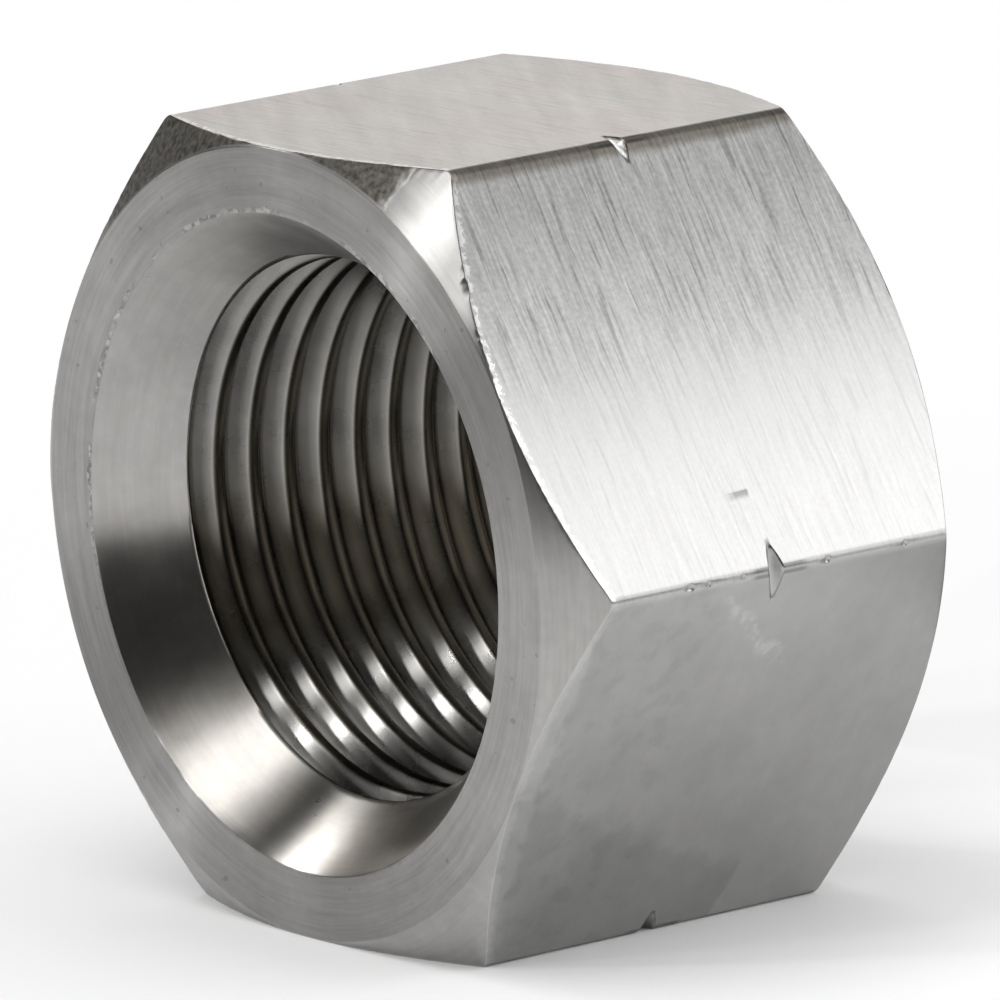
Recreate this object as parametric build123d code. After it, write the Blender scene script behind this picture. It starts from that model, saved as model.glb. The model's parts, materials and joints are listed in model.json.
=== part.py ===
"""Left-hand lock nut, M20 x 1.5, in one piece of hexagonal steel bar.

The nut is made here as the real one is: a length of hexagonal bar is faced and
chamfered at both ends in a lathe, drilled to the thread's minor diameter and
countersunk from both sides, and a shallow V groove is turned round it at half its
height. The groove is less deep than the corners stand above the flats, so it shows
only as a notch in each of the six corners, the usual mark of a left-hand thread.

Frame: millimetres, +Z up. The thread axis is Y, the wide countersink opens
towards -Y, and the nut lies on one of its flats. The origin is on the thread axis
at half the nut's height.
"""

import os
from math import cos, pi, radians, tan

from build123d import *

# The bar
across_flats = 27.0
bar_corner_radius = 0.5
nut_height = 17.0

# The chamfers that leave a round bearing face at each end
bearing_face_diameter = 26.9
chamfer_angle = 34.5

# The thread, bored to its minor diameter
thread_diameter = 20.0
thread_pitch = 1.5

# The countersinks, with each angle measured from the thread axis
front_countersink_diameter = 22.5
front_countersink_angle = 36.0
back_countersink_diameter = 21.0
back_countersink_angle = 45.0

# The turned groove that marks a left-hand thread
mark_groove_depth = 0.45
mark_groove_width = 0.9

# How far cutting shapes run past the metal that they cut
overrun = 1.0

# The basic minor diameter of an ISO metric thread is 5/8 of the height of its
# sharp triangle inside the nominal diameter, on each side
sharp_triangle_height = thread_pitch * cos(pi / 6)
minor_radius = thread_diameter / 2 - sharp_triangle_height * 5 / 8

front = -nut_height / 2
back = nut_height / 2
bearing_face_radius = bearing_face_diameter / 2
corner_reach = across_flats / 2 / cos(pi / 6)

front_countersink_depth = (front_countersink_diameter / 2 - minor_radius) / tan(
    radians(front_countersink_angle)
)
back_countersink_depth = (back_countersink_diameter / 2 - minor_radius) / tan(
    radians(back_countersink_angle)
)
threaded_length = nut_height - front_countersink_depth - back_countersink_depth


def turned(outline):
    """A solid turned about the thread axis, from (radius, place along Y) points."""
    with BuildPart() as lathe_work:
        with BuildSketch(Plane.XY):
            with BuildLine():
                Polyline(*outline, close=True)
            make_face()
        revolve(axis=Axis.Y)
    return lathe_work.part


def hexagonal_bar():
    """A length of bar along Y, with flats above and below and slightly round corners."""
    with BuildPart() as bar:
        with BuildSketch(Plane.XZ):
            hexagon = RegularPolygon(across_flats / 2, 6, major_radius=False)
            fillet(hexagon.vertices(), radius=bar_corner_radius)
        extrude(amount=nut_height / 2, both=True)
    return bar.part


def turned_envelope():
    """The space inside both end chamfers, wider than the bar's corners between them."""
    outer_radius = corner_reach + overrun
    chamfer_length = (outer_radius - bearing_face_radius) * tan(radians(chamfer_angle))
    return turned(
        [
            (0, front),
            (bearing_face_radius, front),
            (outer_radius, front + chamfer_length),
            (outer_radius, back - chamfer_length),
            (bearing_face_radius, back),
            (0, back),
        ]
    )


def countersunk_bore():
    """What the drill and both countersinks take away, run past each end face."""
    front_mouth = front_countersink_diameter / 2 + overrun * tan(radians(front_countersink_angle))
    back_mouth = back_countersink_diameter / 2 + overrun * tan(radians(back_countersink_angle))
    return turned(
        [
            (0, front - overrun),
            (front_mouth, front - overrun),
            (minor_radius, front + front_countersink_depth),
            (minor_radius, back - back_countersink_depth),
            (back_mouth, back + overrun),
            (0, back + overrun),
        ]
    )


def left_hand_mark():
    """The ring of metal that the V groove takes off the corners at half height."""
    groove_bottom = corner_reach - mark_groove_depth
    slope = mark_groove_width / 2 / mark_groove_depth
    open_half_width = mark_groove_width / 2 + overrun * slope
    return turned(
        [
            (groove_bottom, 0),
            (corner_reach + overrun, -open_half_width),
            (corner_reach + overrun, open_half_width),
        ]
    )


def lock_nut():
    """The finished nut, one solid."""
    blank = hexagonal_bar() & turned_envelope()
    return blank - countersunk_bore() - left_hand_mark()


os.makedirs("parts", exist_ok=True)
nut = lock_nut()
export_step(nut, "parts/nut_body.step")
print(f"minor radius {minor_radius:.3f} mm, threaded length {threaded_length:.3f} mm")
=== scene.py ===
"""Looks of the left-hand lock nut: one closed mesh of bright turned steel.

The mesh stands for the plain CAD solid and keeps its form. It adds the helical
thread, the worn edges with their chips and nicks, and the marks of the tools.

Frame: metres, +Z up, the thread axis along Y, the wide countersink towards -Y.
Angles run round the axis from +X towards +Z, so they grow anticlockwise in the
photograph. Corner 0 points along +X and the flats lie between the corners.
"""

import json
from math import cos, pi, radians, sin, tan

import bmesh
import bpy
import numpy as np
from mathutils import Matrix, Vector


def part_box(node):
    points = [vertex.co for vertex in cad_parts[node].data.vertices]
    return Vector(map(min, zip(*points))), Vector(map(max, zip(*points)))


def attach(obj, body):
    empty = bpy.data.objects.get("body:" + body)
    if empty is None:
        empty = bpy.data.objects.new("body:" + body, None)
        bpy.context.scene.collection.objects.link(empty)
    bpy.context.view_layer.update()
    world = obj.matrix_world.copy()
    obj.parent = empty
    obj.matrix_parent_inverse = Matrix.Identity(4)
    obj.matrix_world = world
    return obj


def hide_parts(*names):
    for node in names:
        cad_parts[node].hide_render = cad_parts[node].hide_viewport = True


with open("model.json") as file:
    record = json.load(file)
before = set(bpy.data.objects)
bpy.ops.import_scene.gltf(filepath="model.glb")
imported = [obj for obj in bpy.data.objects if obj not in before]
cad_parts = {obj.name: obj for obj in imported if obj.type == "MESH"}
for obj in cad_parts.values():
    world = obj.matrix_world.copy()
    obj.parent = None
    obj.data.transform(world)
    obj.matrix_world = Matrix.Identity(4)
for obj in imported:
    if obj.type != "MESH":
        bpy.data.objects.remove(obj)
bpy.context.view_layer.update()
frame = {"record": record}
_, nut_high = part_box("nut_body")

MM = 0.001
CORNERS = 6
TURN = 2 * pi

# Sizes that the frame gives
half_height = nut_high.y
flat_reach = nut_high.z
mounts = {m["name"]: m for m in frame["record"]["mounts"]}
minor_radius = mounts["thread"]["dims"]["r_mm"] * MM

# Sizes of the nut that the frame doesn't state
bar_corner_radius = 0.5 * MM
bearing_face_radius = 13.45 * MM
chamfer_angle = radians(34.5)
thread_pitch = 1.5 * MM
front_mouth_radius = 11.25 * MM
front_countersink_angle = radians(36.0)
back_mouth_radius = 10.5 * MM
back_countersink_angle = radians(45.0)

# The left-hand mark is a groove with a round bottom. Each corner has its own half width,
# depth and place along Y, and the groove narrows where it is cut less than fully deep. On
# the flat before the corner it may run askew, by its slant and as far as the slant
# reaches, and cut deeper than on the next flat, by its lean. Both are shares of the way
# from the corner
mark_full_depth = 0.45 * MM
mark_least_depth = 0.04 * MM
mark_half_widths = np.array([0.32, 0.31, 0.4, 0.4, 0.4, 0.4]) * MM
mark_depths = np.array([0.51, 0.38, 0.17, 0.45, 0.45, 0.41]) * MM
mark_places = np.array([-0.17, -0.03, 0.0, 0.0, 0.0, -0.25]) * MM
mark_slants = np.array([-0.2, -0.12, 0.0, 0.0, 0.0, -0.04])
mark_leans = np.array([0.06, 0.0, 0.0, 0.0, 0.0, 0.0])
mark_slant_reach = 1.3 * MM

# The thread stands so that a groove's centre, carried back along the helix to
# angle 0, is this deep below the front face
first_groove_depth = 0.9425 * MM

# The groove starts shallow between these depths, past the countersink's wide part
run_in_start = 2.0 * MM
run_in_end = 2.7 * MM

# Rounding of the thread's crests and roots, of the bearing faces' edges, of the edges
# between chamfers and flats, and of the countersinks' worn mouths
edge_softness = 0.045 * MM
face_edge_rounding = 0.08 * MM
arc_rounding = 0.06 * MM
mouth_rounding = 0.12 * MM

# The steps of each rounding
rounding_steps = 3

# How far the rings beside an edge lie from it: on the faces and in the countersinks, on
# the chamfers and behind the chips, and on the flats where no chip reaches
face_margin = 0.3 * MM
chip_margin = 0.16 * MM
clear_of_chips = 0.45 * MM

# How far the largest chip reaches back from the chamfer, and how long the chips are
chip_reach = 0.1 * MM
small_chip = 0.14 * MM
large_chip = 0.6 * MM

# How ragged the chamfer's edge is, at angles round the axis in degrees
ragged_angles = (0, 24, 30, 46, 50, 62, 66, 106, 114, 180, 300, 360)
ragged_shares = (0.1, 0.15, 0.9, 0.9, 0.2, 0.2, 0.9, 0.9, 0.2, 0.4, 0.25, 0.1)

# Nicks in the edges and pits in the flats, in millimetres: the way round the bar from
# corner 0, the place along Y, the length round the bar, the width along Y and the depth
dents = (
    (0.0, -3.78, 0.3, 0.36, 0.09),
    (0.0, -3.0, 0.22, 0.2, 0.06),
    (0.0, -1.55, 0.2, 0.2, 0.05),
    (0.0, 2.0, 0.26, 0.26, 0.08),
    (0.0, 5.3, 0.2, 0.24, 0.06),
    (2.83, -0.26, 0.2, 0.56, 0.07),
    (7.33, 0.08, 0.16, 0.14, 0.04),
    (12.66, 2.08, 0.15, 0.2, 0.05),
    (13.4, -5.6, 0.15, 0.2, 0.04),
    (-2.6, -4.3, 0.3, 0.2, 0.04),
)

# The rows and columns of points that shape a dent, as shares of its width and length
dent_steps = (-0.5, -0.25, 0, 0.25, 0.5)

# The rows of points on the flats: plain ones along Y, in millimetres, that stay clear of
# the left-hand mark, those across the mark, as shares of its half width, and how far the
# first and the last lie from the arcs
plain_rows = np.round(np.arange(-6.0, 6.1, 0.75), 3)
mark_clearance = 0.75
mark_rows = (-1.15, -1, -0.85, -0.6, -0.3, 0, 0.3, 0.6, 0.85, 1, 1.15)
end_row_gap = 0.7 * MM

# How many points there are round the bore, round its worn front mouth, round each corner
# of the bar, and along each flat at the front arcs, at the back arcs and between them
bore_columns = 300
mouth_columns = 720
corner_points = 8
front_flat_points = 250
back_flat_points = 64
middle_flat_points = 32
middle_crowding = 0.85

# The depths between which the points of the bore's wall follow the helix
helix_rows_start = 1.5 * MM
helix_rows_end = 2 * half_height - 0.4 * MM

corner_reach = flat_reach / cos(pi / 6)
flat_width = 2 * flat_reach * tan(pi / 6)
sharp_triangle_height = thread_pitch * cos(pi / 6)
major_radius = minor_radius + sharp_triangle_height * 5 / 8
groove_depth = major_radius - minor_radius
root_half_width = thread_pitch / 16

# Zones of the skin, in the order of the material slots
FLAT, CHAMFER, FACE, COUNTERSINK, THREAD = range(5)


class Skin:
    """Points and faces of one closed mesh, gathered ring by ring from front to back."""

    def __init__(self):
        self.points = []
        self.faces = []
        self.zones = []

    def ring(self, points):
        """Adds points and gives their numbers."""
        first = len(self.points)
        self.points.extend(tuple(p) for p in points)
        return np.arange(first, len(self.points))

    def rings(self, rows, angle):
        """Adds a ring for each row, which is a radius and a place along Y at each angle."""
        return [self.ring(around(radius, place, angle)) for radius, place in rows]

    def face(self, corners, zone):
        """Adds one face, without the corners that fall together."""
        kept = [c for i, c in enumerate(corners) if c != corners[i - 1]]
        if len(set(kept)) > 2:
            self.faces.append(kept)
            self.zones.append(zone)

    def band(self, one, other, zone):
        """Joins two closed rings of as many points by four-sided faces."""
        for i in range(len(one)):
            j = (i + 1) % len(one)
            self.face([int(one[i]), int(one[j]), int(other[j]), int(other[i])], zone)

    def bands(self, rings, zone):
        """Joins each ring of a list to the next."""
        for one, other in zip(rings, rings[1:]):
            self.band(one, other, zone)

    def zip_up(self, one, other, zone):
        """Joins two closed rings with different numbers of points by triangles."""
        turns_one = self.turns_to(one)
        turns_other = self.turns_to(other)
        i = j = 0
        while i < len(one) or j < len(other):
            here = int(one[i % len(one)])
            there = int(other[j % len(other)])
            if j == len(other) or (i < len(one) and turns_one[i + 1] <= turns_other[j + 1]):
                i += 1
                self.face([here, int(one[i % len(one)]), there], zone)
            else:
                j += 1
                self.face([here, int(other[j % len(other)]), there], zone)

    def turns_to(self, ring):
        """The angle of each point of a ring, from its first point on to a full turn."""
        x, _, z = np.array([self.points[n] for n in ring]).T
        angle = np.unwrap(np.arctan2(z, x))
        return np.append(angle, angle[0] + TURN)


def around(radius, place, angle):
    """Points at a radius and a place along Y, at each angle."""
    radius, place, angle = np.broadcast_arrays(radius, place, angle)
    return np.column_stack([radius * np.cos(angle), place, radius * np.sin(angle)])


def bar_outline(per_flat, crowding=0.0, with_dents=False):
    """Radius and angle of the rounded hexagon, once round from the middle of corner 0.

    Crowding draws the points of a flat towards its corners. With dents, there are more
    points where a dent lies."""
    centre_reach = corner_reach - bar_corner_radius / cos(pi / 6)
    corners = []
    for k in range(CORNERS):
        towards = k * TURN / CORNERS
        sweep = towards + np.linspace(-pi / 6, pi / 6, corner_points + 1)
        middle = centre_reach * np.array([cos(towards), sin(towards)])
        corners.append(middle + bar_corner_radius * np.column_stack([np.cos(sweep), np.sin(sweep)]))
    points = []
    for k, corner in enumerate(corners):
        points.extend(corner)
        start, end = corner[-1], corners[(k + 1) % CORNERS][0]
        share = np.arange(1, per_flat) / per_flat
        share = share - crowding * np.sin(TURN * share) / TURN
        if with_dents:
            share = np.sort(np.append(share, dent_columns(k * flat_width)))
        points.extend(start + (end - start) * s for s in share)
    x, z = np.roll(np.array(points), -(corner_points // 2), axis=0).T
    return np.hypot(x, z), np.unwrap(np.arctan2(z, x))


def dent_columns(flat_start):
    """Where the dents of one flat need more points, as shares of the way along it."""
    shares = [
        (way * MM - flat_start + step * length * MM) / flat_width
        for way, _, length, _, _ in dents
        for step in dent_steps
    ]
    return [share for share in shares if 0.05 < share < 0.95]


def bend(before, corner, after, radius):
    """Rows along a small rounding of a corner in the (radius, place) plane, for all columns.

    The rounding takes at most 0.45 of either leg, so it fits where a leg is short."""
    before, corner, after = (np.array(np.broadcast_arrays(*p)) for p in (before, corner, after))
    to_before = before - corner
    to_after = after - corner
    long_before = np.hypot(*to_before)
    long_after = np.hypot(*to_after)
    cosine = (to_before * to_after).sum(0) / (long_before * long_after)
    half_turn = (pi - np.arccos(np.clip(cosine, -1, 1))) / 2
    reach = np.minimum(radius * np.tan(half_turn), 0.45 * np.minimum(long_before, long_after))
    start = corner + to_before * (reach / long_before)
    end = corner + to_after * (reach / long_after)
    rows = []
    for t in np.linspace(0, 1, rounding_steps + 1):
        rows.append((1 - t) ** 2 * start + 2 * t * (1 - t) * corner + t**2 * end)
    return rows


def ragged(angle, length, seed):
    """Smooth noise from -1 to 1 round the nut, with a new value every given length."""
    count = int(TURN * flat_reach / length)
    values = np.random.default_rng(seed).uniform(-1, 1, count)
    place = (angle / TURN) % 1 * count
    low = np.floor(place).astype(int)
    share = place - low
    share = share * share * (3 - 2 * share)
    return values[low % count] * (1 - share) + values[(low + 1) % count] * share


def chips(angle, sign):
    """How far the edge between chamfer and flats is worn back, from nothing to 1, by column."""
    roughness = np.interp(np.degrees(angle) % 360, ragged_angles, ragged_shares)
    seed = 5 if sign < 0 else 8
    small = ragged(angle, small_chip, seed)
    large = ragged(angle, large_chip, seed + 1)
    return roughness * np.clip(0.1 + 0.5 * small + 0.6 * large, 0, 1)


def chamfered_end(skin, sign, radius, angle):
    """The rings of one end, from its flat face over the chamfer to just behind the arcs.

    sign is -1 at the front and +1 at the back. It gives the ring lists of the face's
    edge, the chamfer and the flats."""
    face = sign * half_height
    true_arc = face - sign * (radius - bearing_face_radius) * tan(chamfer_angle)
    worn_arc = true_arc - sign * chip_reach * chips(angle, sign)
    edge = np.array([np.full_like(radius, bearing_face_radius), np.full_like(radius, face)])
    inner = edge - np.array([[face_margin], [0]])
    true_lip = np.array([radius, true_arc])
    lip = np.array([radius, worn_arc])
    behind = np.array([radius, true_arc - sign * clear_of_chips])
    chamfer_length = np.hypot(*(true_lip - edge))
    beside_lip = true_lip + (edge - true_lip) * np.minimum(0.3, chip_margin / chamfer_length)

    face_rows = [inner] + bend(inner, edge, beside_lip, face_edge_rounding)
    start = face_rows[-1]
    chamfer_rows = [start + (beside_lip - start) * s for s in (0.4, 0.75, 1)]
    lip_rows = bend(beside_lip, lip, behind, arc_rounding)
    flat_rows = [np.array([radius, worn_arc - sign * chip_margin]), behind]

    on_face = skin.rings(face_rows, angle)
    on_chamfer = on_face[-1:] + skin.rings(chamfer_rows + lip_rows[:1], angle)
    on_flats = on_chamfer[-1:] + skin.rings(lip_rows[1:] + flat_rows, angle)
    return on_face, on_chamfer, on_flats


def face_rings(skin, sign, radius_from, radius_to, angle, count):
    """Plain rings on an end face, between its edge and the countersink's mouth."""
    radii = np.linspace(radius_from, radius_to, count)
    return skin.rings([(radius, sign * half_height) for radius in radii], angle)


def mark_by_column(radius, angle):
    """The left-hand groove in each column: its middle's place, bottom radius and half width."""
    corner_number = np.round(angle / TURN * CORNERS).astype(int)
    from_corner = flat_reach * np.tan(angle - corner_number * TURN / CORNERS)
    corner_number = corner_number % CORNERS
    before = np.clip(from_corner, -mark_slant_reach, 0)
    middle = mark_places[corner_number] + mark_slants[corner_number] * before
    bottom = corner_reach - mark_depths[corner_number] + mark_leans[corner_number] * from_corner
    fullness = np.maximum(radius - bottom, mark_least_depth) / mark_full_depth
    return middle, bottom, mark_half_widths[corner_number] * np.sqrt(fullness)


def dented(radius, place, way_round):
    """The radius of points of the flats, less the dents; way_round runs from corner 0."""
    whole_way = CORNERS * flat_width
    for way, y, length, width, depth in dents:
        along = (way_round - way * MM + whole_way / 2) % whole_way - whole_way / 2
        apart = (2 * along / (length * MM)) ** 2 + (2 * (place - y * MM) / (width * MM)) ** 2
        radius = radius - depth * MM * np.clip(1 - apart, 0, 1)
    return radius


def flat_middle(skin, radius, angle):
    """The rings of the flats and corners between both arcs, with the left-hand mark."""
    drop = (radius - bearing_face_radius) * tan(chamfer_angle)
    front_arc = drop - half_height
    back_arc = half_height - drop
    middle, bottom, half_width = mark_by_column(radius, angle)
    cut_depth = np.maximum(radius - bottom, 0)
    dent_rows = [y + step * width for _, y, _, width, _ in dents for step in dent_steps]
    level_rows = sorted({round(y, 3) for y in [*plain_rows, *dent_rows] if abs(y) > mark_clearance})
    places = [front_arc + end_row_gap]
    places += [np.full_like(radius, y * MM) for y in level_rows if y < 0]
    places += [middle + share * half_width for share in mark_rows]
    places += [np.full_like(radius, y * MM) for y in level_rows if y > 0]
    places += [back_arc - end_row_gap]
    flat_number = np.floor(angle / TURN * CORNERS)
    to_middle = angle - (flat_number + 0.5) * TURN / CORNERS
    way_round = (flat_number + 0.5) * flat_width + flat_reach * np.tan(to_middle)
    rings = []
    for place in places:
        inside = 1 - ((place - middle) / half_width) ** 2
        cut = radius - cut_depth * np.clip(inside, 0, 1)
        rings.append(skin.ring(around(dented(cut, place, way_round), place, angle)))
    return rings


def thread_rise(offset, depth):
    """Depth of the thread groove below the crest, at a distance along Y from its centre.

    The first turn runs in shallow, so that the countersink is clean."""
    flank = groove_depth - (np.abs(offset) - root_half_width) * tan(pi / 3)
    capped = groove_depth - edge_softness * np.logaddexp(0, (groove_depth - flank) / edge_softness)
    share = np.clip((depth - run_in_start) / (run_in_end - run_in_start), 0, 1)
    return edge_softness * np.logaddexp(0, capped / edge_softness) * share * share * (3 - 2 * share)


def thread_wall(helix_place, depth):
    """Radius of the threaded wall, from the place along the helix and the true depth."""
    offset = (helix_place - first_groove_depth + thread_pitch / 2) % thread_pitch - thread_pitch / 2
    return minor_radius + thread_rise(offset, depth)


def void_radius(helix_place, depth):
    """Radius of the bore's wall where the thread and both countersinks meet."""
    front_cone = front_mouth_radius - depth * tan(front_countersink_angle)
    back_cone = back_mouth_radius - (2 * half_height - depth) * tan(back_countersink_angle)
    return np.maximum(thread_wall(helix_place, depth), np.maximum(front_cone, back_cone))


def is_cone(helix_place, depth):
    """Where a countersink has cut deeper than the thread."""
    return void_radius(helix_place, depth) > thread_wall(helix_place, depth) + 1e-9


def threaded_wall(skin):
    """The bore's wall between two depths, on a grid whose rows follow the helix.

    Each turn has rows at its groove's root, flanks and crest. It gives the closed rings
    at the front and at the back."""
    half_offsets = np.array([0.055, 0.13, 0.3, 0.47, 0.55, 0.62]) * MM
    offsets = np.concatenate([[-thread_pitch / 2], -half_offsets[::-1], half_offsets])
    per_pitch = len(offsets)
    first_turn = int(np.floor((helix_rows_start - first_groove_depth) / thread_pitch)) - 2
    last_turn = int(np.ceil((helix_rows_end - first_groove_depth) / thread_pitch)) + 1
    turns = np.arange(first_turn, last_turn + 1)
    row_places = (first_groove_depth + turns[:, None] * thread_pitch + offsets[None, :]).ravel()
    numbers = []
    first_rows = []
    last_rows = []
    cones = []
    for i in range(bore_columns):
        angle = i * TURN / bore_columns
        climb = thread_pitch * angle / TURN
        depth = row_places + climb
        first_row = int(np.argmin(np.abs(depth - helix_rows_start)))
        last_row = int(np.argmin(np.abs(depth - helix_rows_end)))
        depth[first_row] = helix_rows_start
        depth[last_row] = helix_rows_end
        snap_to_crossings(depth, climb, first_row + 1, last_row - 1)
        kept = slice(first_row, last_row + 1)
        between = (depth[1:] + depth[:-1]) / 2
        cones.append(is_cone(between - climb, between))
        radius = void_radius(depth - climb, depth)[kept]
        numbers.append(skin.ring(around(radius, depth[kept] - half_height, angle)))
        first_rows.append(first_row)
        last_rows.append(last_row)

    def number(i, row):
        return int(numbers[i][np.clip(row, first_rows[i], last_rows[i]) - first_rows[i]])

    for i in range(bore_columns):
        after = (i + 1) % bore_columns
        shift = per_pitch if after == 0 else 0
        for row in range(len(row_places) - 1):
            corners = [number(i, row), number(i, row + 1)]
            corners += [number(after, row + 1 + shift), number(after, row + shift)]
            skin.face(corners, COUNTERSINK if cones[i][row] else THREAD)
    return [np.array([column[k] for column in numbers]) for k in (0, -1)]


def snap_to_crossings(depth, climb, first_row, last_row):
    """Moves the nearest row of a column onto each line where a cone meets the thread."""
    fine_steps = 6000
    fine = np.linspace(depth[first_row], depth[last_row], fine_steps)
    on_cone = is_cone(fine - climb, fine)
    for k in np.flatnonzero(on_cone[1:] != on_cone[:-1]):
        nearest = first_row + int(np.argmin(np.abs(depth[first_row:last_row + 1] - fine[k])))
        depth[nearest] = fine[k]


def mouth_rings(skin, sign, mouth_radius, cone_angle, columns):
    """The rings of a countersink's worn mouth, from the face to just inside the cone."""
    angle = np.arange(columns) * TURN / columns
    worn = 0.6 + 0.25 * ragged(angle, 0.5 * MM, 11 + sign) + 0.15 * ragged(angle, 2.5 * MM, 21)
    at_mouth = np.array([np.full(columns, mouth_radius), np.full(columns, sign * half_height)])
    on_face = at_mouth + np.array([[face_margin], [0]])
    inside = at_mouth - np.array([[face_margin * tan(cone_angle)], [sign * face_margin]])
    rows = [on_face] + bend(on_face, at_mouth, inside, mouth_rounding * worn) + [inside]
    return skin.rings(rows, angle)


def cone_rings(skin, sign, mouth_radius, cone_angle, inner_depth, columns):
    """The rings of a countersink's wall, from just inside its mouth to the thread's first ring."""
    angle = np.arange(columns) * TURN / columns
    depths = np.linspace(face_margin, inner_depth, 5)[1:-1]
    rows = [(mouth_radius - depth * tan(cone_angle), sign * (half_height - depth)) for depth in depths]
    return skin.rings(rows, angle)


def nut_skin():
    """The whole closed skin, from band to band."""
    skin = Skin()
    at_front = bar_outline(front_flat_points)
    at_back = bar_outline(back_flat_points)
    between = bar_outline(middle_flat_points, middle_crowding, with_dents=True)
    front_edge, front_chamfer, front_flat = chamfered_end(skin, -1, *at_front)
    back_edge, back_chamfer, back_flat = chamfered_end(skin, 1, *at_back)
    face_inside = front_mouth_radius + face_margin * 1.5
    face_outside = bearing_face_radius - face_margin * 1.5
    front_face = face_rings(skin, -1, face_inside, face_outside, between[1], 6)
    middle = flat_middle(skin, *between)
    front_ring, back_ring = threaded_wall(skin)
    front = (front_mouth_radius, front_countersink_angle)
    back = (back_mouth_radius, back_countersink_angle)
    front_mouth = mouth_rings(skin, -1, *front, mouth_columns)
    front_cone = cone_rings(skin, -1, *front, helix_rows_start, bore_columns)
    back_mouth = mouth_rings(skin, 1, *back, bore_columns)

    skin.bands(front_edge, FACE)
    skin.bands(front_chamfer, CHAMFER)
    skin.bands(front_flat, FLAT)
    skin.zip_up(front_flat[-1], middle[0], FLAT)
    skin.bands(middle, FLAT)
    skin.zip_up(middle[-1], back_flat[-1], FLAT)
    skin.bands(back_flat, FLAT)
    skin.bands(back_chamfer, CHAMFER)
    skin.bands(back_edge, FACE)
    skin.zip_up(front_edge[0], front_face[-1], FACE)
    skin.bands(front_face, FACE)
    skin.zip_up(front_face[0], front_mouth[0], FACE)
    skin.bands(front_mouth[:-1], FACE)
    skin.bands(front_mouth[-2:], COUNTERSINK)
    skin.zip_up(front_mouth[-1], front_cone[0], COUNTERSINK)
    skin.bands(front_cone + [front_ring], COUNTERSINK)
    skin.bands(back_mouth[:-1], FACE)
    skin.bands(back_mouth[-2:] + [back_ring], COUNTERSINK)
    skin.zip_up(back_mouth[0], back_edge[0], FACE)
    return skin


def nut_mesh():
    """The skin as a Blender mesh, closed and with its faces turned outward."""
    skin = nut_skin()
    mesh = bpy.data.meshes.new("nut_finish")
    mesh.from_pydata(skin.points, [], skin.faces)
    mesh.polygons.foreach_set("material_index", np.array(skin.zones, np.int32))
    work = bmesh.new()
    work.from_mesh(mesh)
    bmesh.ops.recalc_face_normals(work, faces=work.faces)
    work.to_mesh(mesh)
    work.free()
    mesh.shade_smooth()
    return mesh


# Colours of the steel: of its flats, warmer and redder on the top one, of turned metal
# and of the thread
flat_colour = (0.57, 0.567, 0.56)
warm_flat_colour = (0.62, 0.59, 0.55)
reddish_flat_colour = (0.62, 0.565, 0.525)
chamfer_colour = (0.545, 0.535, 0.52)
torn_colour = (0.55, 0.52, 0.47)
face_colour = (0.485, 0.475, 0.465)
countersink_colour = (0.56, 0.55, 0.535)
thread_colour = (0.47, 0.46, 0.44)

# Colours painted on it: a dark brown reflection painted along the top edge of the bright
# flat, a warm tint painted where the countersinks reflect dark, dirt and painted shade on
# the thread's crests and in its roots, and the tint of the thread's painted dark reflection
painted_edge_reflection = (0.3, 0.28, 0.245)
painted_warm_reflection = (0.57, 0.545, 0.51)
dirt_and_groove_shade = (0.09, 0.08, 0.065)
painted_reflection_tint = (0.66, 0.63, 0.58)

# Depths of the finest marks, in millimetres
scratch_depth = 0.0012
turning_depth = 0.0015


class Shade:
    """One material, with short ways to add and link its nodes."""

    def __init__(self, name):
        self.material = bpy.data.materials.new(name)
        self.material.use_nodes = True
        self.tree = self.material.node_tree
        self.shader = self.tree.nodes["Principled BSDF"]

    def link(self, value, socket):
        """Feeds a socket from another node, or sets it."""
        if isinstance(value, bpy.types.NodeSocket):
            self.tree.links.new(value, socket)
        else:
            socket.default_value = value

    def node(self, kind, inputs, **settings):
        """Adds a node; inputs maps its sockets' names or numbers to values."""
        node = self.tree.nodes.new("ShaderNode" + kind)
        for name, value in settings.items():
            setattr(node, name, value)
        for key, value in inputs.items():
            self.link(value, node.inputs[key])
        return node

    def math(self, operation, *values):
        """The outcome of one operation on plain values."""
        return self.node("Math", dict(enumerate(values)), operation=operation).outputs[0]

    def vector(self, operation, *values):
        """The outcome of one operation on vectors or colours."""
        return self.node("VectorMath", dict(enumerate(values)), operation=operation).outputs[0]

    def total(self, *values):
        """The sum of any number of values."""
        result = values[0]
        for value in values[1:]:
            result = self.math("ADD", result, value)
        return result

    def product(self, *values):
        """The product of any number of values."""
        result = values[0]
        for value in values[1:]:
            result = self.math("MULTIPLY", result, value)
        return result

    def noise(self, place, detail=2.0, roughness=0.5):
        """Soft noise between about 0.25 and 0.75, at a place already scaled."""
        inputs = {"Vector": place, "Scale": 1.0, "Detail": detail, "Roughness": roughness}
        return self.node("TexNoise", inputs).outputs["Fac"]

    def ease(self, value, low, high, first=0.0, last=1.0):
        """Goes smoothly from first to last as a value goes from low to high."""
        inputs = {"Value": value, "From Min": low, "From Max": high, "To Min": first, "To Max": last}
        return self.node("MapRange", inputs, interpolation_type="SMOOTHSTEP").outputs["Result"]

    def blend(self, share, colour, other):
        """One colour going over into another."""
        node = self.node("Mix", {"Factor": share}, data_type="RGBA")
        for value, socket in ((colour, node.inputs[6]), (other, node.inputs[7])):
            self.link(value if isinstance(value, bpy.types.NodeSocket) else (*value, 1), socket)
        return node.outputs[2]

    def brighter(self, colour, brightness):
        """A colour times a brightness."""
        return self.node("VectorMath", {0: colour, "Scale": brightness}, operation="SCALE").outputs[0]


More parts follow.
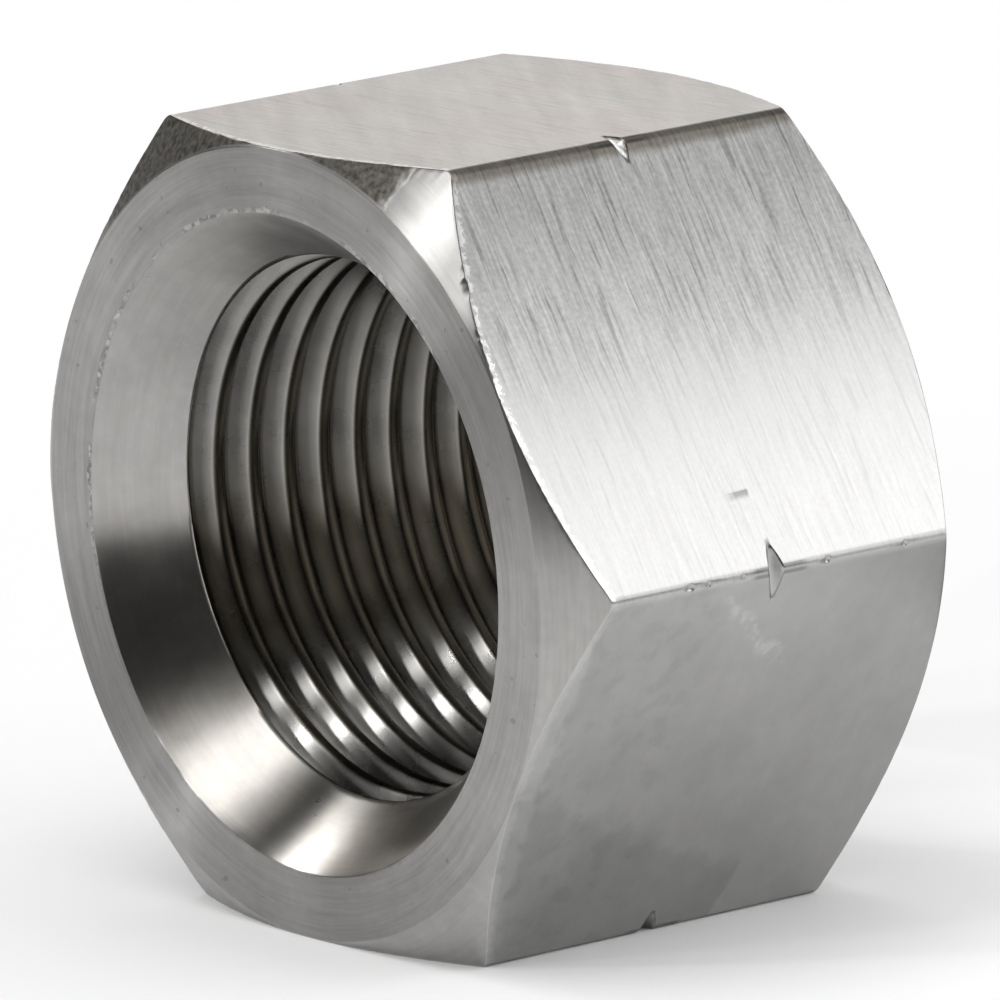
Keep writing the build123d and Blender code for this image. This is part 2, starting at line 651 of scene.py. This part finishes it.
class Steel(Shade):
    """Bare steel whose tool marks all run round the thread axis.

    The highlight is narrow along the marks and wide across them, by the anisotropy, so the
    tangent of the shader lies across the marks: along Y on the flats and along the slope on
    turned faces. Places are in millimetres."""

    def __init__(self, name, anisotropy):
        super().__init__(name)
        coordinates = self.node("TexCoord", {})
        self.place = self.vector("MULTIPLY", coordinates.outputs["Object"], (1 / MM, 1 / MM, 1 / MM))
        self.x, self.y, self.z = self.node("SeparateXYZ", {0: self.place}).outputs
        squares = self.total(self.math("POWER", self.x, 2.0), self.math("POWER", self.z, 2.0))
        self.radius = self.math("SQRT", squares)
        self.normal = self.node("NewGeometry", {}).outputs["Normal"]
        round_axis = self.vector("NORMALIZE", self.vector("CROSS_PRODUCT", (0, 1, 0), self.place))
        self.link(self.vector("CROSS_PRODUCT", self.normal, round_axis), self.shader.inputs["Tangent"])
        self.shader.inputs["Metallic"].default_value = 1
        self.shader.inputs["Anisotropic"].default_value = anisotropy

    def faces(self, direction, low=0.9, high=0.96):
        """1 where the surface faces a direction, as an angle round the axis, and 0 elsewhere."""
        towards = (cos(direction), 0, sin(direction))
        product = self.node("VectorMath", {0: self.normal, 1: towards}, operation="DOT_PRODUCT")
        return self.ease(product.outputs["Value"], low, high)

    def along_marks(self, across, reach, width):
        """A place for noise drawn out round the axis: reach and width of its grains in mm."""
        x = self.math("DIVIDE", self.x, reach)
        z = self.math("DIVIDE", self.z, reach)
        inputs = {0: x, 1: self.math("DIVIDE", across, width), 2: z}
        return self.node("CombineXYZ", inputs).outputs[0]

    def clouds(self, size, detail=2.0):
        """Noise with grains of one size each way."""
        return self.noise(self.vector("DIVIDE", self.place, (size, size, size)), detail)

    def finish(self, colour, brightness, roughness, height, depth):
        """Feeds the shader; height is in units of depth, which is in millimetres."""
        self.link(self.brighter(colour, brightness), self.shader.inputs["Base Color"])
        self.link(roughness, self.shader.inputs["Roughness"])
        bump = self.node("Bump", {"Strength": 1.0, "Distance": depth * MM, "Height": height})
        self.link(bump.outputs["Normal"], self.shader.inputs["Normal"])
        return self.material


def flat_steel():
    """The six flats of the drawn bar, scratched square to the thread axis."""
    steel = Steel("steel_flats", anisotropy=0.8)
    top = steel.faces(pi / 2)
    lower = steel.faces(-pi / 6)
    up_bright = steel.total(steel.product(steel.x, -0.5), steel.product(steel.z, cos(pi / 6)))
    clouds = steel.clouds(2.6, 3.0)
    marks, height = scratches_of_flats(steel, up_bright, top, lower)
    slanted = steel.total(steel.y, steel.product(steel.x, 0.6))
    streaks = steel.total(steel.noise(steel.along_marks(slanted, 6.0, 0.9), 2.0), -0.5)
    # Painted shade: darker towards the back, high on the bright flat and on the flat above it
    painted_corner_shade = steel.product(steel.ease(steel.y, 2.0, 8.0), steel.ease(up_bright, 3.0, 7.0))
    shade = steel.total(
        0.84,
        steel.product(clouds, 0.28),
        marks,
        steel.product(top, streaks, 0.4),
        edge_of_flats(steel),
        steel.product(painted_corner_shade, -0.08),
    )
    shade = steel.product(shade, lower_flat_stains_and_shade(steel, lower), painted_shade_beside_marks(steel))
    roughness = steel.total(0.25, steel.product(clouds, 0.1))
    colour = colour_of_flats(steel, up_bright, top, clouds)
    return steel.finish(colour, shade, roughness, height, scratch_depth)


def scratches_of_flats(steel, up_bright, top, lower):
    """How bright and how high the scratches are, strongest on the upper part of the bright flat.

    up_bright is the way up that flat, and top and lower are 1 on the flats beside it."""
    across = steel.total(steel.y, steel.product(up_bright, 0.04), steel.product(steel.clouds(1.6, 1.0), 0.12))
    scratches = steel.noise(steel.along_marks(across, 2.2, 0.11), 2.0, 0.6)
    lines = steel.noise(steel.along_marks(steel.total(across, 30.0), 3.2, 0.17), 1.0)
    cuts = steel.ease(lines, 0.6, 0.66)
    soft = steel.total(1.0, steel.product(top, -0.6), steel.product(lower, -0.85))
    strength = steel.product(steel.ease(up_bright, -2.0, 3.5, 0.45, 1.7), soft)
    marks = steel.total(
        steel.product(scratches, 0.55),
        steel.product(steel.clouds(0.16, 2.0), 0.3),
        steel.product(cuts, -0.16),
        -0.4,
    )
    return steel.product(marks, strength), steel.product(scratches, strength)


def colour_of_flats(steel, up_bright, top, clouds):
    """Grey steel, warmer on the top flat; the bright one has a painted dark reflection at its top."""
    warm = steel.blend(steel.ease(steel.clouds(5.0, 1.0), 0.4, 0.6), warm_flat_colour, reddish_flat_colour)
    plain = steel.blend(top, flat_colour, warm)
    # Painted dark reflection, in brown, along the top edge of the bright flat
    edge_reflection = steel.product(
        steel.ease(steel.total(up_bright, steel.product(clouds, 0.3)), 7.2, 7.6),
        steel.math("SUBTRACT", 1.0, steel.faces(pi / 2, 0.97, 0.99)),
        steel.ease(below_flats(steel), 0.12, 0.08),
    )
    return steel.blend(edge_reflection, plain, painted_edge_reflection)


def behind_front_arc(steel):
    """How far a point of the flats lies behind the front chamfer's arc, in millimetres."""
    reach = steel.math("SUBTRACT", steel.radius, bearing_face_radius / MM)
    arc = steel.total(steel.product(reach, tan(chamfer_angle)), -half_height / MM)
    return steel.math("SUBTRACT", steel.y, arc)


def edge_of_flats(steel):
    """How much brighter the flats are just behind the front arc: a rub, and painted glints on a burr."""
    behind = behind_front_arc(steel)
    rub = steel.ease(steel.total(behind, steel.product(steel.clouds(0.3), -0.4)), 0.2, -0.05)
    burr = steel.ease(steel.total(behind, steel.product(steel.clouds(0.14, 1.0), -0.4)), 0.04, -0.02)
    # Painted glints along the burr of the front arc
    painted_flecks = steel.ease(steel.clouds(0.3, 2.0), 0.38, 0.52)
    burred = steel.math("MAXIMUM", steel.faces(pi / 2), steel.faces(pi / 6))
    return steel.total(steel.product(rub, 0.12), steel.product(burr, painted_flecks, burred, 0.55))


def below_flats(steel):
    """How deep a point lies below the planes of the flats, in millimetres."""
    slanted = steel.math("ABSOLUTE", steel.product(steel.x, cos(pi / 6)))
    slanted = steel.total(slanted, steel.math("ABSOLUTE", steel.product(steel.z, 0.5)))
    reach = steel.math("MAXIMUM", slanted, steel.math("ABSOLUTE", steel.z))
    return steel.total(flat_reach / MM, steel.product(reach, -1.0))


def painted_shade_beside_marks(steel):
    """How bright the rims of the left-hand marks are: painted shade darkens them where they are shallow, as
    the grooves' dark outlines.
    """
    depth = below_flats(steel)
    # Painted shade along the shallow rims of the marks
    rim = steel.product(steel.ease(depth, 0.002, 0.012), steel.ease(depth, 0.07, 0.03))
    near = steel.ease(steel.math("ABSOLUTE", steel.y), 1.3, 0.9)
    return steel.total(1.0, steel.product(rim, near, -0.42))


def lower_flat_stains_and_shade(steel, lower):
    """How bright the lower right-hand flat is beside the others: painted shade towards the back, a darker
    patch, a rub and a spot.
    """
    up = steel.total(steel.product(steel.x, 0.5), steel.product(steel.z, cos(pi / 6)))
    slope = steel.total(up, steel.product(steel.y, 0.5), steel.product(steel.clouds(1.2), 1.6))
    side = steel.total(steel.y, steel.product(up, -0.28), steel.product(steel.clouds(0.9), 0.3))
    patch = steel.product(steel.ease(slope, -2.9, -4.0), steel.ease(side, 4.7, 4.6))
    rub_line = steel.total(up, steel.y, steel.product(steel.clouds(0.9), 1.6), -5.8)
    rub = steel.ease(steel.math("ABSOLUTE", rub_line), 0.5, 0.05)
    rub = steel.product(rub, steel.ease(steel.clouds(0.35), 0.35, 0.6))
    rub = steel.product(rub, steel.ease(steel.math("ABSOLUTE", steel.total(steel.y, 0.3)), 2.4, 1.0))
    margin = steel.ease(steel.total(steel.y, steel.product(steel.clouds(0.8), 1.0)), -6.6, -7.1)
    mottling = steel.total(steel.clouds(0.6, 4.0), -0.5)
    brown = steel.product(steel.ease(steel.clouds(0.8, 2.0), 0.5, 0.65), steel.ease(steel.y, -1.5, -2.5))
    change = steel.total(
        # The first term is painted shade: a little lighter at the front, darker towards the back
        steel.ease(steel.y, -1.0, 6.0, 0.02, -0.06),
        steel.product(mottling, 0.14),
        steel.product(brown, -0.07),
        steel.product(patch, -0.16),
        steel.product(rub, 0.22),
        steel.product(margin, 0.16),
    )
    return steel.total(1.0, steel.product(change, lower))


class TurnedSteel(Steel):
    """Steel turned in the lathe, with marks of a given width in millimetres round the axis."""

    def __init__(self, name, colour, width, contrast, roughness, anisotropy):
        super().__init__(name, anisotropy)
        fine = self.noise(self.along_marks(self.radius, 2.5, width), 3.0, 0.6)
        broad = self.noise(self.along_marks(self.radius, 7.0, width * 4), 1.0)
        clouds = self.clouds(2.2, 3.0)
        self.colour = colour
        self.brightness = self.total(
            0.72 - contrast * 0.85,
            self.product(clouds, 0.36),
            self.product(self.clouds(0.5, 3.0), 0.2),
            self.product(fine, contrast),
            self.product(broad, contrast * 0.7),
        )
        self.roughness = self.total(roughness - 0.05, self.product(clouds, 0.1))
        self.height = self.total(self.product(fine, 0.7), broad)

    def finished(self):
        """The material, with its marks as they are now."""
        return self.finish(self.colour, self.brightness, self.roughness, self.height, turning_depth)


def chamfer_steel():
    """Both chamfers, with the metal that the tool tore at the top of the front one."""
    steel = TurnedSteel(
        "steel_chamfers", chamfer_colour, width=0.12, contrast=0.3, roughness=0.37, anisotropy=0.8
    )
    torn = torn_by_tool(steel)
    pitted = steel.clouds(0.22, 3.0)
    change = steel.math("SUBTRACT", steel.total(-0.1, pitted), steel.brightness)
    steel.brightness = steel.total(steel.brightness, steel.product(torn, change))
    steel.colour = steel.blend(torn, steel.colour, torn_colour)
    steel.roughness = steel.total(steel.roughness, steel.product(torn, 0.3))
    steel.height = steel.total(steel.height, steel.product(torn, pitted, 12.0))
    return steel.finished()


def face_steel():
    """Both end faces, with a few pits and painted glints and dark flecks at the front countersink's broken
    edge.
    """
    steel = TurnedSteel("steel_faces", face_colour, width=0.12, contrast=0.5, roughness=0.34, anisotropy=1.0)
    pits = steel.ease(steel.clouds(0.4, 1.0), 0.72, 0.78)
    steel.brightness = steel.total(steel.brightness, painted_flecks_at_mouth(steel), steel.product(pits, -0.25))
    return steel.finished()


def countersink_steel():
    """Both countersinks, with a warm tint painted in their lower part for the dark reflection there."""
    steel = TurnedSteel(
        "steel_countersinks", countersink_colour, width=0.08, contrast=0.2, roughness=0.29, anisotropy=0.8
    )
    # Painted reflection tint: warmer towards the bottom, where the countersink reflects dark
    steel.colour = steel.blend(steel.ease(steel.z, 2.0, -3.0), steel.colour, painted_warm_reflection)
    return steel.finished()


def painted_flecks_at_mouth(steel):
    """Painted glints and dark flecks on the front face along the countersink's broken edge, stronger on its
    upper side.
    """
    beyond = steel.total(steel.radius, -front_mouth_radius / MM, steel.product(steel.clouds(0.6), -0.35))
    band = steel.product(steel.ease(beyond, 0.02, -0.06), steel.ease(beyond, -0.24, -0.14))
    stretches = steel.ease(steel.clouds(1.3, 1.0), 0.38, 0.55)
    # Painted stronger on the upper side, where the light catches the edge
    upper = steel.ease(steel.total(steel.z, steel.product(steel.x, -0.5)), 1.0, 6.0, 0.15, 1.0)
    painted_flecks = steel.ease(steel.clouds(0.2, 1.0), 0.4, 0.62, -0.3, 0.4)
    return steel.product(band, upper, stretches, painted_flecks, steel.ease(steel.y, -8.3, -8.45))


def torn_by_tool(steel):
    """Where the tool tore the front chamfer instead of cutting it, from corner 1 to corner 2."""
    angle = steel.math("ARCTAN2", steel.z, steel.x)
    angle = steel.total(angle, steel.product(steel.clouds(0.6), radians(4)))
    over_top = steel.product(
        steel.ease(angle, radians(66), radians(68)), steel.ease(angle, radians(140), radians(134))
    )
    outside = steel.ease(steel.radius, bearing_face_radius / MM + 0.02, bearing_face_radius / MM + 0.12)
    front = steel.ease(steel.y, 0.0, -1.0)
    return steel.product(over_top, outside, front)


def thread_steel():
    """The cut thread, with fine marks along its turns, dirt and painted shade on its crests
    and in its roots, and a painted dark reflection in a band below the axis.
    """
    steel = Steel("steel_thread", anisotropy=0.95)
    fine = steel.noise(steel.along_marks(steel.total(steel.y, steel.radius), 8.0, 0.09), 2.0)
    clouds = steel.clouds(1.6, 3.0)
    crest = minor_radius / MM
    root = major_radius / MM
    # Dark brown on the crests and in the roots: dirt, and painted shade of the grooves
    clean = steel.product(
        steel.ease(steel.radius, crest + 0.02, crest + 0.1),
        steel.ease(steel.radius, root - 0.02, root - 0.14),
    )
    colour = steel.blend(clean, dirt_and_groove_shade, thread_colour)
    # Painted dark reflection: darker and warmer in a band below the axis
    painted_dark_reflection = steel.product(steel.ease(steel.z, 2.0, -2.0), steel.ease(steel.z, -7.0, -4.5))
    colour = steel.blend(painted_dark_reflection, colour, steel.vector("MULTIPLY", colour, painted_reflection_tint))
    shade = steel.total(0.42, steel.product(clouds, 0.75), steel.product(fine, 0.35))
    roughness = steel.total(0.23, steel.product(clouds, 0.1))
    return steel.finish(colour, shade, roughness, fine, scratch_depth)


def make_nut():
    """The dressed nut, riding in place of the CAD solid."""
    nut = bpy.data.objects.new("nut_finish", nut_mesh())
    bpy.context.scene.collection.objects.link(nut)
    for steel in (flat_steel, chamfer_steel, face_steel, countersink_steel, thread_steel):
        nut.data.materials.append(steel())
    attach(nut, "root")
    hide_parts("nut_body")


# The camera, from the photograph: its frame is 1000 pixels each way
frame_pixels = 1000
camera_azimuth = radians(52.7044)
camera_elevation = radians(12.0692)
camera_roll = radians(-2.5565)
camera_distance = 539.3 * MM
pixels_per_metre = 462.5848 / (15.588 * MM)
origin_pixel = (491.985, 504.168)
sensor_width = 36.0

camera_back = Vector(
    (
        sin(camera_azimuth) * cos(camera_elevation),
        -cos(camera_azimuth) * cos(camera_elevation),
        sin(camera_elevation),
    )
)


def make_camera():
    """The camera at the photograph's viewing angle."""
    level = Vector((cos(camera_azimuth), sin(camera_azimuth), 0))
    upright = camera_back.cross(level)
    right = level * cos(camera_roll) + upright * sin(camera_roll)
    up = upright * cos(camera_roll) - level * sin(camera_roll)
    data = bpy.data.cameras.new("camera")
    camera = bpy.data.objects.new("camera", data)
    bpy.context.scene.collection.objects.link(camera)
    turned = Matrix((right, up, camera_back)).transposed().to_4x4()
    camera.matrix_world = Matrix.Translation(camera_back * camera_distance) @ turned
    data.sensor_width = sensor_width
    data.lens = pixels_per_metre * camera_distance / frame_pixels * sensor_width
    data.shift_x = (frame_pixels / 2 - origin_pixel[0]) / frame_pixels
    data.shift_y = (origin_pixel[1] - frame_pixels / 2) / frame_pixels
    data.clip_start = 0.01
    data.clip_end = 20
    bpy.context.scene.camera = camera


# How far the floor, the cloths and the cards reach, how high the cards lie above the floor,
# and between which distances from the nut the floor goes over into the backdrop
floor_reach = 2.0
room_reach = 0.5
card_reach = 0.3
near_card_reach = 24 * MM
card_gap = 0.05 * MM
floor_fade = (30 * MM, 90 * MM)

# The backdrop's strength as a source of light for matt surfaces
world_light = 0.77

# Softboxes at one distance: the side they stand on, half the angle that each fills, in
# degrees, and its brightness
lamp_distance = 0.4
softboxes = (
    ("key", (-0.25, -0.79, 0.56), 2, 63),
    ("front", (0, -0.83, 0.55), 2.5, 25),
    ("left", (-0.75, -0.2, 0.63), 7, 6),
    ("overhead", (0, -0.1, 0.99), 20, 0.6),
    ("overhead_front", (-0.05, -0.42, 0.9), 12, 1.6),
    ("low_left", (-0.62, -0.74, 0.28), 8, 1),
)

# The panel whose upper edge the right-hand flat mirrors: its size, how far from the flat
# it stands, how high on the flat the edge shows, and its brightness
sheen_width = 110 * MM
sheen_height = 45 * MM
sheen_distance = 55 * MM
sheen_edge = 0.3 * MM
sheen_brightness = 1.32


def plain_material(name, colour, roughness):
    """A matt material for the studio."""
    material = bpy.data.materials.new(name)
    material.use_nodes = True
    shader = material.node_tree.nodes["Principled BSDF"]
    shader.inputs["Base Color"].default_value = (*colour, 1)
    shader.inputs["Roughness"].default_value = roughness
    return material


def stage_piece(name, points, faces, material):
    """A mesh of the studio, which isn't part of the object."""
    mesh = bpy.data.meshes.new(name)
    mesh.from_pydata(points, [], faces)
    mesh.materials.append(material)
    piece = bpy.data.objects.new(name, mesh)
    bpy.context.scene.collection.objects.link(piece)
    return piece


def background_rays(tree):
    """1 for the rays that show the background, from the camera, metal or glass, and 0 for light."""
    path = tree.nodes.new("ShaderNodeLightPath")
    shown = path.outputs["Is Camera Ray"]
    for ray in ("Is Glossy Ray", "Is Transmission Ray"):
        either = tree.nodes.new("ShaderNodeMath")
        either.operation = "MAXIMUM"
        tree.links.new(shown, either.inputs[0])
        tree.links.new(path.outputs[ray], either.inputs[1])
        shown = either.outputs[0]
    return shown


def floor_material():
    """The pale floor, which goes over into the white backdrop away from the nut and its shadow."""
    shade = Shade("pale_floor")
    shade.shader.inputs["Base Color"].default_value = (0.9, 0.9, 0.9, 1)
    shade.shader.inputs["Roughness"].default_value = 0.8
    place = shade.node("TexCoord", {}).outputs["Object"]
    distance = shade.node("VectorMath", {0: place}, operation="LENGTH").outputs["Value"]
    white = shade.node("Emission", {"Color": (1, 1, 1, 1), "Strength": 1.0})
    share = shade.product(shade.ease(distance, *floor_fade), background_rays(shade.tree))
    mixed = shade.node("MixShader", {0: share, 1: shade.shader.outputs[0], 2: white.outputs[0]})
    shade.link(mixed.outputs[0], shade.tree.nodes["Material Output"].inputs["Surface"])
    return shade.material


def make_floor():
    """A plain pale floor, at the height of the flat that the nut rests on."""
    z = -flat_reach
    corners = [(x * floor_reach, y * floor_reach, z) for x, y in ((-1, -1), (1, -1), (1, 1), (-1, 1))]
    stage_piece("floor", corners, [(0, 1, 2, 3)], floor_material())


def seen_in_reflections_only(piece):
    """For cards and cloths that stand just outside the picture."""
    piece.visible_camera = False
    piece.visible_diffuse = False
    piece.visible_shadow = False
    piece.visible_transmission = False


def around_nut(first, last, inner, outer):
    """Points in pairs along an arc round Z, each pair a (reach, height) inside and outside.

    Angles are in degrees from -Y towards +X."""
    steps = 48
    points = []
    for i in range(steps + 1):
        angle = radians(first + (last - first) * i / steps)
        points += [(reach * sin(angle), -reach * cos(angle), z) for reach, z in (inner, outer)]
    return points, [(2 * i, 2 * i + 2, 2 * i + 3, 2 * i + 1) for i in range(steps)]


def make_cards():
    """Dark cloth round the camera's side, and cards on the floor beside the picture.

    Each has its first and last angle, and its inner and outer, or lower and upper, edge."""
    dark = plain_material("dark_cloth", (0.015, 0.015, 0.015), 1)
    grey = plain_material("grey_card", (0.64, 0.64, 0.64), 1)
    floor = -flat_reach
    card = floor + card_gap

    def at_height(degrees):
        """A point of the cloths' ring, as high as it looks from the nut."""
        return room_reach, room_reach * tan(radians(degrees))

    pieces = (
        ("tall_cloth", -120, 125, (room_reach, floor), at_height(62), dark),
        ("low_cloth", 125, 205, (room_reach, floor), at_height(24), dark),
        ("hanging_cloth", 150, 225, at_height(36), at_height(66), dark),
        ("grey_card", -115, 137, (0, card), (card_reach, card), grey),
        ("near_card", 137, 245, (0, card), (near_card_reach, card), grey),
        ("dark_card", 137, 212, (near_card_reach, card), (room_reach, card), dark),
    )
    for name, first, last, inner, outer, material in pieces:
        points, faces = around_nut(first, last, inner, outer)
        seen_in_reflections_only(stage_piece(name, points, faces, material))


def make_world():
    """A white backdrop all round, dimmer as a source of light for matt surfaces."""
    world = bpy.data.worlds.new("studio")
    bpy.context.scene.world = world
    world.use_nodes = True
    nodes = world.node_tree.nodes
    links = world.node_tree.links
    strength = nodes.new("ShaderNodeMapRange")
    strength.inputs["To Min"].default_value = world_light
    strength.inputs["To Max"].default_value = 1
    links.new(background_rays(world.node_tree), strength.inputs["Value"])
    links.new(strength.outputs["Result"], nodes["Background"].inputs["Strength"])
    nodes["Background"].inputs["Color"].default_value = (1, 1, 1, 1)


def make_panel(name, placing, width, height, brightness):
    """A soft rectangular lamp of one brightness; placing is its matrix, and it shines along -Z."""
    data = bpy.data.lights.new(name, "AREA")
    data.shape = "RECTANGLE"
    data.size = width
    data.size_y = height
    data.energy = brightness * pi * width * height
    lamp = bpy.data.objects.new(name, data)
    bpy.context.scene.collection.objects.link(lamp)
    lamp.matrix_world = placing
    lamp.visible_camera = False


def make_lamp(name, towards, spread, brightness):
    """A square softbox that looks at the nut; spread is half the angle that it fills."""
    direction = Vector(towards).normalized()
    size = 2 * lamp_distance * tan(radians(spread))
    turned = direction.to_track_quat("Z", "Y").to_matrix().to_4x4()
    make_panel(name, Matrix.Translation(direction * lamp_distance) @ turned, size, size, brightness)


def make_sheen_panel():
    """A bright panel close to the nut, whose upper edge the right-hand flat mirrors as a sheen."""
    facing = Vector((cos(pi / 6), 0, sin(pi / 6)))
    up_the_flat = Vector((-sin(pi / 6), 0, cos(pi / 6)))
    away = 2 * facing.dot(camera_back) * facing - camera_back
    along = Vector((0, 1, 0)) - away.y * away
    along.normalize()
    up = away.cross(along)
    up *= 1 if up.dot(up_the_flat) > 0 else -1
    edge = facing * flat_reach + away * sheen_distance + up * sheen_edge
    turned = Matrix((along, away.cross(along), away)).transposed().to_4x4()
    placing = Matrix.Translation(edge - up * sheen_height / 2) @ turned
    make_panel("sheen_panel", placing, sheen_width, sheen_height, sheen_brightness)


make_nut()
make_floor()
make_cards()
make_world()
for softbox in softboxes:
    make_lamp(*softbox)
make_sheen_panel()
make_camera()
bpy.context.scene.view_settings.view_transform = "Standard"
